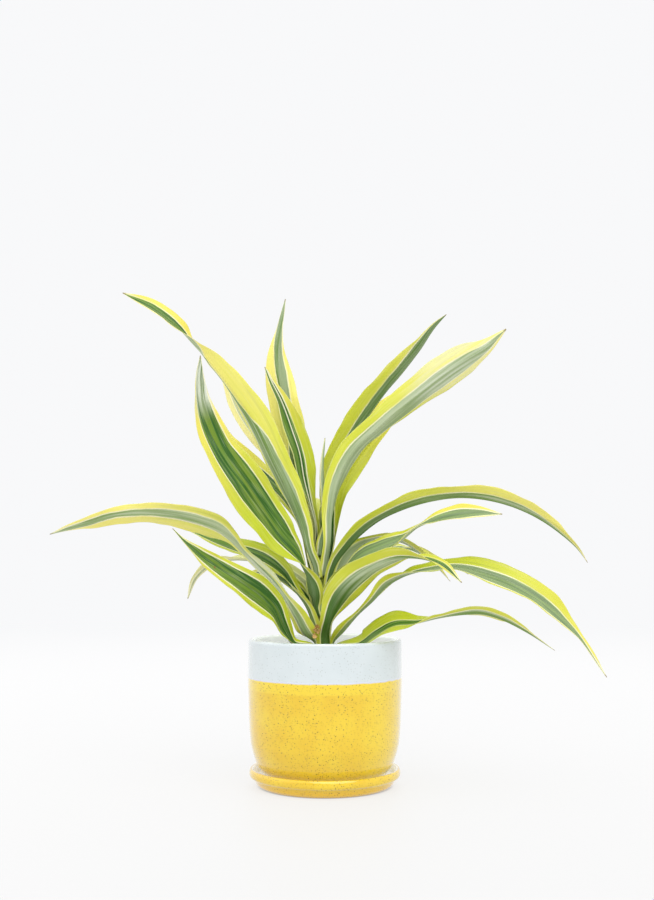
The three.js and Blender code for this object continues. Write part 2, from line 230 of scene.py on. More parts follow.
def turnedPiece(name, profile, thrown, material, **says):
    # A thrown shape: the profile goes round the axis, and outside a steady middle its radius drifts
    # inwards by up to the wobble, after a sum of three slow waves of the angle and the height
    steadyRadius, wavesMost = 30, 2.6
    drift = np.random.default_rng(thrown["seed"]).uniform(0, 2 * pi, 3)
    angle = circle(thrown["sides"])
    radius, height = profile[:, :1], profile[:, 1:]
    waves = np.sin(2 * angle + height / 31 + drift[0]) + np.sin(3 * angle - height / 23 + drift[1])
    waves = waves + 0.6 * np.sin(5 * angle + height / 17 + drift[2])
    drifted = radius + thrown["wobble"] * (waves / wavesMost - 1) / 2
    around = np.where(radius > steadyRadius, drifted, radius)
    faces = gridFaces(len(profile), thrown["sides"])
    meshPiece(name, aroundAxis(around, angle, height), faces, material, **says)


# Pot and saucer
pot = {
    "radius": 65, "rimHeight": 121.5, "wall": 4, "floorTop": 10.5, "drain": 6,
    "sides": 224, "wobble": 0.25, "seed": 3,
    "bandBottom": 90.0,          # where the pale glaze ends
    "reflectionReach": 9.0,              # how far below that a lighter band of yellow reaches: a painted reflection
}
saucer = {
    "lip": 63.4, "height": 14.8, "sides": 224, "wobble": 0.15, "seed": 5,
    "wellRadius": 55.5, "wellOpening": 0.35,   # the well's cone: its radius, and how it opens upwards
}
glaze = {
    "pale": tint(208, 217, 219), "paleInside": tint(240, 245, 247), "line": tint(214, 219, 236),
    "yellow": tint(230, 190, 12), "warm": tint(234, 186, 10), "light": tint(240, 210, 34),
    "speck": tint(104, 82, 14), "paleSpeck": tint(150, 150, 136),
    "cloudScale": 55, "speckScale": 450, "fineScale": 640, "relief": 0.00022, "reliefStrength": 0.5,
    "potGlow": 0.35, "saucerGlow": 0.2,        # a painted glow inside them, standing in for light thrown back by the white studio
}


def speckled(paint, place, scale, softEnd):
    # Balls of iron scattered in the glaze, cut where they meet the surface
    scattered = {"Vector": place, "Scale": scale, "Randomness": 1.0}
    spots = paint.node("TexVoronoi", {}, scattered, "Distance")
    ragged = (paint.noise(place, 2600, 1) - 0.5) * 0.12
    return 1 - paint.smooth(spots + ragged, 0.15, softEnd)


def glazePaint(name, glow):
    # What the two glazed pieces share: the shader, the place, the clouds, the specks and the yellow
    paint = Paint(name, {
        "Emission Strength": glow, "IOR": 1.5, "Specular IOR Level": 0.4,
        "Coat Weight": 1.0, "Coat Roughness": 0.05, "Coat IOR": 1.55})
    place = paint.place()
    cloudy = paint.noise(place, glaze["cloudScale"], 3)
    patchy = paint.smooth(paint.noise(place, 60, 1), 0.3, 0.55)
    speck = speckled(paint, place, glaze["speckScale"], 0.22) * (0.4 + patchy * 0.6)
    fine = speckled(paint, place, glaze["fineScale"], 0.23)
    yellow = paint.mix(paint.smooth(cloudy, 0.3, 0.75) * 0.6, glaze["yellow"], glaze["light"])
    return paint, place, cloudy, speck, fine, yellow


def potGlaze():
    paint, place, cloudy, speck, fine, yellow = glazePaint("potGlaze", glaze["potGlow"])
    x, y, height = paint.inMillimetres(place)
    # The pale glaze ends in a wavy line; a lighter band of the yellow below it is a painted reflection
    wander = (paint.noise(paint.joined(x * 0.04, y * 0.04, 3.0), 3.0, 3) - 0.5) * 1.5
    above = height - pot["bandBottom"] + wander
    inPale = paint.smooth(above, -0.25, 0.25)
    onLine = paint.smooth(above, -0.9, -0.1) * (1 - paint.smooth(above, 0.1, 1.3))
    reflectedBand = paint.smooth(above, -pot["reflectionReach"] - 0.8, -pot["reflectionReach"] + 0.8)
    # Warmer at the foot, a painted shade; lighter to the right, a painted highlight; and lighter under the
    # band, the painted reflection
    yellow = paint.mix((1 - paint.smooth(height, 8, 26)) * 0.5, yellow, glaze["warm"])
    yellow = paint.mix(paint.smooth(x + y * 0.3, -5, 35) * 0.6, yellow, glaze["light"])
    yellow = paint.mix(reflectedBand * 0.8, yellow, glaze["light"])
    fromAxis = (x * x + y * y) ** 0.5
    # Inside the pot the pale glaze is whiter: its own white glaze, made whiter still as painted light
    # against the shade in there
    inside = 1 - paint.smooth(fromAxis, pot["radius"] - pot["wall"] + 0.3, pot["radius"] - 1.5)
    pale = paint.mix(paint.smooth(cloudy, 0.35, 0.7) * 0.12 + inside, glaze["pale"], glaze["paleInside"])
    clear = paint.mix(inPale, yellow, pale)
    speckColour = paint.mix(inPale, glaze["speck"], glaze["paleSpeck"])
    dotted = paint.mix(speck * (0.9 - 0.5 * inPale), clear, speckColour)
    dotted = paint.mix(fine * 0.6 * (1 - inPale), dotted, glaze["speck"])
    paint.show("Base Color", paint.mix(onLine * 0.75, dotted, glaze["line"]))
    # The pale inside wall glows: a painted glow
    paint.show("Emission Color", paint.mix(inside * inPale, black, glaze["paleInside"]))
    thickness = inPale * 0.5 + reflectedBand * 0.25 + cloudy * 0.3 - speck * 0.15
    paint.bump(thickness, glaze["relief"], glaze["reliefStrength"])
    paint.show("Roughness", 0.13 + inPale * 0.06 + cloudy * 0.05)
    return paint.material


def saucerGlaze():
    paint, place, cloudy, speck, fine, yellow = glazePaint("saucerGlaze", glaze["saucerGlow"])
    x, y, height = paint.inMillimetres(place)
    yellow = paint.mix(1 - paint.smooth(height, 3, 9), yellow, glaze["warm"])
    dotted = paint.mix(speck * 0.8, yellow, glaze["speck"])
    dotted = paint.mix(fine * 0.5, dotted, glaze["speck"])
    # The well inside the lip is painted pale and glows: a painted reflection of the white studio and a
    # painted glow. It lies within a cone that opens with the height
    fromCone = (x * x + y * y) ** 0.5 - height * saucer["wellOpening"]
    well = 1 - paint.smooth(fromCone, saucer["wellRadius"], saucer["wellRadius"] + 0.5)
    well = well * paint.smooth(height, 4, 4.8)
    paint.show("Base Color", paint.mix(well, dotted, glaze["paleInside"]))
    paint.show("Emission Color", paint.mix(well, black, glaze["paleInside"]))
    paint.bump(cloudy * 0.3 - speck * 0.15, glaze["relief"], glaze["reliefStrength"])
    paint.show("Roughness", 0.13 + cloudy * 0.06)
    return paint.material


inner = pot["radius"] - pot["wall"]
top = pot["rimHeight"]
potProfile = smoothProfile([
    (pot["drain"], 6.3), (40, 6.3), (41, 5.3), (46, 5.3), (50, 8.7), (52.5, 11.9), (56, 16), (58, 20),
    (60.4, 27), (62.4, 35), (63.5, 47), (64.2, 62), (pot["radius"], 86), (pot["radius"], top - 1.2),
    (pot["radius"] - 0.9, top), (inner + 0.9, top), (inner, top - 1.2),
    (inner, 86), (60, 60), (58, 36), (54, 22), (47, 13), (42, pot["floorTop"]),
    (pot["drain"], pot["floorTop"]), (pot["drain"], 6.3)], 0.8, 0.9)
potProfile[-1] = potProfile[0]
turnedPiece("potThrown", potProfile, pot, potGlaze(), node="pot", slot="pot_glaze")

saucerProfile = smoothProfile([
    (0, 0), (54.5, 0), (57.4, 2.2), (59.6, 7.2), (62.4, 7.8), (saucer["lip"], 9.6),
    (saucer["lip"], 12.6), (62.4, saucer["height"]), (60.4, saucer["height"]),
    (59.2, 12), (57.6, 8), (54.6, 5.4), (50, 5), (0, 5)], 0.5, 0.55)
turnedPiece("saucerThrown", saucerProfile, saucer, saucerGlaze(), node="saucer", slot="saucer_glaze")
print("pot and saucer made")


# Leaves and the stem that carries them
build = {
    "stemRadius": 5, "stemTopRadius": 3.4, "soilTop": 103, "stemBottom": 70, "stemTop": 192,
    "stemLean": -4, "leanHeight": 40,    # how far the stem leans to the side, and over what height
    "sheath": (14, 72),           # width and cup of a leaf's sheath where it clasps the stem
    "gap": 0.8,                   # from the stem's skin to the middle of the blade
    "footRise": 9, "footFlare": 1.6, "footOpening": 6,    # from the sheath's first station to its second
    "thickness": (0.16, 0.52),    # at the margin and at the midrib
    "tipWidth": 0.5, "wave": 1.2, "frill": 0.22, "groove": 0.35, "keel": 0.5,
    "step": 1.7, "pointsAcross": 33, "arcSlices": 24,
    "band": [[0, -0.5, 0.5], [1, -0.4, 0.4]],    # where the green band lies, if a leaf doesn't say
}


def stemAxis(height):
    share = np.clip((np.asarray(height, float) - build["soilTop"]) / build["leanHeight"], 0, 1)
    return build["stemLean"] * share * share * (3 - 2 * share)


def stemRadiusAt(height):
    tall = build["stemTop"] - build["soilTop"]
    share = np.clip((np.asarray(height, float) - build["soilTop"]) / tall, 0, 1)
    return build["stemRadius"] + (build["stemTopRadius"] - build["stemRadius"]) * share


def smoothRows(rows, step):
    # A smooth curve through the rows of a table: cubic steps by length, with slopes taken from the
    # neighbouring rows, then evenly spaced samples
    rows = np.array(rows, float)
    spans = np.linalg.norm(np.diff(rows[:, :3], axis=0), axis=1)
    lengths = np.concatenate([[0], np.cumsum(spans)])
    steps = np.diff(rows, axis=0) / spans[:, None]
    middle = steps[:-1] * spans[1:, None] + steps[1:] * spans[:-1, None]
    middle = middle / (spans[:-1] + spans[1:])[:, None]
    slopes = np.vstack([steps[:1], middle, steps[-1:]])
    at = np.linspace(0, lengths[-1], int(lengths[-1] / step) + 1)
    i = np.clip(np.searchsorted(lengths, at, side="right") - 1, 0, len(rows) - 2)
    span = spans[i][:, None]
    q = ((at - lengths[i]) / spans[i])[:, None]
    samples = (2 * q ** 3 - 3 * q ** 2 + 1) * rows[i] + (q ** 3 - 2 * q ** 2 + q) * span * slopes[i]
    samples = samples + (3 * q ** 2 - 2 * q ** 3) * rows[i + 1]
    return samples + (q ** 3 - q ** 2) * span * slopes[i + 1], at


def unit(vectors):
    return vectors / np.linalg.norm(vectors, axis=-1, keepdims=True)


def leafSheet(leaf):
    # The blade's middle surface: at each station it is an arc across the leaf, turned about the
    # midrib by the roll, and each half turns up towards its margin by the cup. The margins wave
    # with the length, most at the very edge
    facing, footHeight = leaf["foot"]
    out = np.array([np.cos(radians(facing)), np.sin(radians(facing)), 0])
    width, wrap = leaf.get("sheath", build["sheath"])
    start = []
    for k in (0, 1):
        height = footHeight + build["footRise"] * k
        reach = stemRadiusAt(height) + build["gap"] + build["footFlare"] * k
        x, y = stemAxis(height) + reach * out[0], reach * out[1]
        start.append([x, y, height, width, 0, wrap - build["footOpening"] * k])
    samples, at = smoothRows(start + leaf["rows"], build["step"])
    toTip = at[-1] - at
    centre, roll = samples[:, :3], np.radians(samples[:, 4])[:, None]
    ahead = unit(np.gradient(centre, axis=0))
    sideways = np.array([out[1], -out[0], 0])
    level = unit(sideways - (ahead @ sideways)[:, None] * ahead)
    upright = np.cross(level, ahead)
    across = level * np.cos(roll) + upright * np.sin(roll)
    up = upright * np.cos(roll) - level * np.sin(roll)
    # Half the width, slightly uneven along the blade
    half = np.maximum(samples[:, 3], build["tipWidth"]) / 2
    half = half * (1 + 0.012 * np.sin(at / 5.3 + leaf["phase"]) * np.clip(toTip / 30, 0, 1))
    # The arc across: the turn grows from the midrib outwards, and its mean direction gives the place
    u = np.linspace(-1, 1, build["pointsAcross"])
    slices = (np.arange(build["arcSlices"]) + 0.5) / build["arcSlices"]
    power = np.clip(1 - at / 60, 0.35, 1)[:, None, None]
    turn = np.radians(samples[:, 5])[:, None, None] * (np.abs(u)[None, :, None] * slices) ** power
    reach = u * np.cos(turn).mean(-1)
    rise = np.abs(u) * np.sin(turn).mean(-1)
    # Waves and frills of the margins, and the groove over the midrib
    fade = (np.clip((at - 40) / 40, 0, 1) * np.clip(toTip / 40, 0, 1))[:, None]
    side = np.where(u < 0, leaf["phase"], leaf["phase"] + 2.1)[None, :]
    along = at[:, None]
    ripple = leaf.get("wave", build["wave"]) * fade * u ** 2 * np.sin(along / 9.5 + side)
    frill = np.sin(along / 3.9 + 2 * side) + 0.5 * np.sin(along / 2.3 + 3.7 * side)
    ripple = ripple + build["frill"] * fade * np.abs(u) ** 5 * frill
    groove = -build["groove"] * np.exp(-(u * half[:, None] / 1.1) ** 2)
    groove = groove * np.clip(half / 6, 0, 1)[:, None]
    lift = rise * half[:, None] + ripple + groove
    outward = across[:, None] * (reach * half[:, None])[..., None]
    sheet = centre[:, None] + outward + up[:, None] * lift[..., None]
    return sheet, at, half, u


def leafPiece(name, leaf):
    # The sheet gets its thickness along its normals, thinner towards the margins, and a keel under
    # the midrib that fades towards the tip. The paint reads where each point lies on the blade
    sheet, at, half, u = leafSheet(leaf)
    normal = unit(np.cross(np.gradient(sheet, axis=1), np.gradient(sheet, axis=0)))
    margin, middle = build["thickness"]
    thinning = (1 - np.abs(u) ** 2.4)[None, :] * np.clip(half / 5, 0.3, 1)[:, None]
    thick = margin + (middle - margin) * thinning
    share = at / at[-1]
    across = u * half[:, None]
    keel = build["keel"] * np.exp(-(across / 1.3) ** 2) * np.clip(1 - share, 0, 1)[:, None]
    upper = sheet + normal * (thick / 2)[..., None]
    lower = sheet - normal * (thick / 2 + keel)[..., None]
    ring = np.concatenate([upper, lower[:, ::-1]], 1)
    bandShare, leftEdge, rightEdge = np.array(leaf.get("band", build["band"]), float).T
    left = np.interp(share, bandShare, leftEdge)[:, None]
    right = np.interp(share, bandShare, rightEdge)[:, None]

    def bothFaces(values):
        values = np.broadcast_to(values, across.shape)
        return np.concatenate([values, values[:, ::-1]], 1)

    floats = {
        "inBand": bothFaces(np.minimum(u - left, right - u) * half[:, None]),
        "across": bothFaces(across), "along": bothFaces(at[:, None]), "share": bothFaces(share[:, None]),
        "fromEdge": bothFaces((1 - np.abs(u)) * half[:, None]),
        "under": np.concatenate([0 * across, 0 * across + 1], 1),
    }
    faces = strapFaces(len(at), 2 * len(u))
    skin = leafPaint(name, leaf)
    meshPiece(name + "Fine", ring, faces, skin, node=name, slot="leaf", floats=floats)


leafTones = {
    "lime": tint(188, 199, 34), "yellow": tint(236, 222, 96), "cream": tint(240, 237, 204),
    "dark": tint(46, 94, 20), "olive": tint(122, 144, 34), "green": tint(98, 136, 42),
    "silver": tint(184, 196, 158), "brown": tint(128, 98, 48), "white": tint(228, 232, 218),
    "underLime": tint(208, 213, 62), "underYellow": tint(248, 238, 126),
    "underShaded": tint(62, 104, 28), "underGreen": tint(120, 150, 76), "underSilver": tint(188, 201, 164),
}

# Streaks along the blade: how fast they change across and along it, what sets them apart, and
# the noise's detail and roughness
streaks = {
    "fine": (1.5, 0.03, 0, 3, 0.6),
    "streak": (0.42, 0.010, 3, 2, 0.55),
    "broad": (0.12, 0.016, 5, 2, 0.5),
}

# Each leaf's own look has its tone, the shares of the length where the margins start to turn
# yellow and where they are ripe, and it may override these
plainLook = {
    "pale": 0.0,            # the whole blade paler: painted haze
    "paleBand": 0.0,          # the green band paler, towards silver grey
    "olive": 0.0,           # olive patches on top
    "shadeNearStem": 0.4,            # painted shade: darker green below, near the stem
    "shadeAlong": 0.0,            # painted shade: darker green below, all along
    "midline": 0.0,         # a pale line along the midrib
    "whiten": None,         # a stretch in long pale streaks: from, to and how much
    "blemish": None,        # a small brown spot: its place along and across in millimetres
    "blemishRadius": (1.2, 2.0),
    "roughness": 0.38,
}


def leafPaint(name, leaf):
    look = {**plainLook, **leaf["look"]}
    tones = leafTones
    paint = Paint(name + "Skin", {"IOR": 1.45, "Specular IOR Level": 0.35})
    across, along = paint.attribute("across"), paint.attribute("along")
    share, under = paint.attribute("share"), paint.attribute("under")
    inBand, fromEdge = paint.attribute("inBand"), paint.attribute("fromEdge")
    seed = leaf["phase"] * 7

    def streaky(kind):
        wide, long, apart, detail, roughness = streaks[kind]
        spread = paint.joined(across * wide, along * long, seed + apart)
        return paint.noise(spread, 1.0, detail, roughness)

    def slow(rate, apart):
        return paint.noise(paint.joined(0.0, along * rate, seed + apart), 1.0, 2)

    fine, streak, broad = streaky("fine"), streaky("streak"), streaky("broad")
    depth = inBand + (slow(0.07, 8) - 0.5) * 1.1
    band = paint.smooth(depth, -0.1, 0.3)
    line = paint.smooth(depth, -1.2, -0.5) * (1 - paint.smooth(depth, -0.05, 0.45))
    # Margins: lime near the stem, riper and yellower towards the tip
    ripe = paint.smooth(share + (streak - 0.5) * 0.3 + (broad - 0.5) * 0.3, *look["tone"])
    upperMargin = paint.mix(ripe, tones["lime"], tones["yellow"])
    underMargin = paint.mix(ripe, tones["underLime"], tones["underYellow"])
    margin = paint.mix(under, upperMargin, underMargin)
    margin = paint.mix(paint.smooth(fine, 0.5, 0.75) * 0.3, margin, tones["cream"])
    margin = paint.mix(paint.smooth(streak, 0.52, 0.72) * 0.25, margin, tones["green"])
    # Green band: dark with olive and paler streaks above, grey-green below, darker near the stem: painted
    # shade
    upperBand = paint.mix(paint.smooth(streak, 0.42, 0.62), tones["dark"], tones["green"])
    if look["olive"]:
        olive = paint.smooth(broad + (streak - 0.5) * 0.8, 0.4, 0.62) * look["olive"]
        upperBand = paint.mix(olive, upperBand, tones["olive"])
    upperBand = paint.mix(paint.smooth(fine, 0.5, 0.72) * 0.4, upperBand, tones["silver"])
    silvery = paint.smooth(streak + (broad - 0.5) * 0.5, 0.36, 0.64)
    underBand = paint.mix(silvery, tones["underGreen"], tones["underSilver"])
    # Painted shade on the underside: darker near the stem, and all along where a leaf sets it
    stemShade = (1 - paint.smooth(share + (streak - 0.5) * 0.15, 0.22, 0.5)) * look["shadeNearStem"]
    underBand = paint.mix(stemShade * (1 - look["shadeAlong"]) + look["shadeAlong"], underBand, tones["underShaded"])
    underBand = paint.mix(paint.smooth(fine, 0.45, 0.75) * 0.45, underBand, tones["green"])
    green = paint.mix(under, upperBand, underBand)
    if look["paleBand"]:
        green = paint.mix((0.4 + broad) * look["paleBand"], green, tones["silver"])
    colour = paint.mix(band, margin, green)
    # The pale line between them comes and goes along the leaf
    clear = paint.smooth(slow(0.022, 12), 0.35, 0.6)
    colour = paint.mix(line * (0.3 + clear * 0.55), colour, tones["cream"])
    if look["midline"]:
        rib = paint.smooth(across, 0.2, 0.7) * (1 - paint.smooth(across, 1.1, 1.6))
        colour = paint.mix(rib * look["midline"], colour, tones["cream"])
    if look["whiten"]:
        low, high, amount = look["whiten"]
        begun = paint.smooth(share, low - 0.06, low + 0.06)
        ended = paint.smooth(share, high - 0.03, high + 0.03)
        pale = begun * (1 - ended) * paint.smooth(streak + (fine - 0.5) * 0.6, 0.3, 0.6) * amount
        colour = paint.mix(pale, colour, tones["white"])
    if look["blemish"]:
        fromSpot, beside = along - look["blemish"][0], across - look["blemish"][1]
        away = (fromSpot * fromSpot + beside * beside) ** 0.5
        spot = (1 - paint.smooth(away + fine, *look["blemishRadius"])) * 0.85
        colour = paint.mix(spot, colour, tones["brown"])
    # A pale rim, and a dry brown tip
    colour = paint.mix((1 - paint.smooth(fromEdge, 0.1, 0.45)) * 0.35, colour, tones["cream"])
    colour = paint.mix(paint.smooth(share, 0.985, 1.0) * 0.8, colour, tones["brown"])
    # Painted haze: the whole blade paler, towards cream
    if look["pale"]:
        colour = paint.mix(look["pale"], colour, tones["cream"])
    paint.show("Base Color", colour)
    paint.show("Roughness", look["roughness"] + under * 0.1 + (fine - 0.5) * 0.2 + (broad - 0.5) * 0.12)
    paint.bump(fine * 0.6 + streak * 0.8 - line * 0.2, 0.00016, 0.55)
    return paint.material


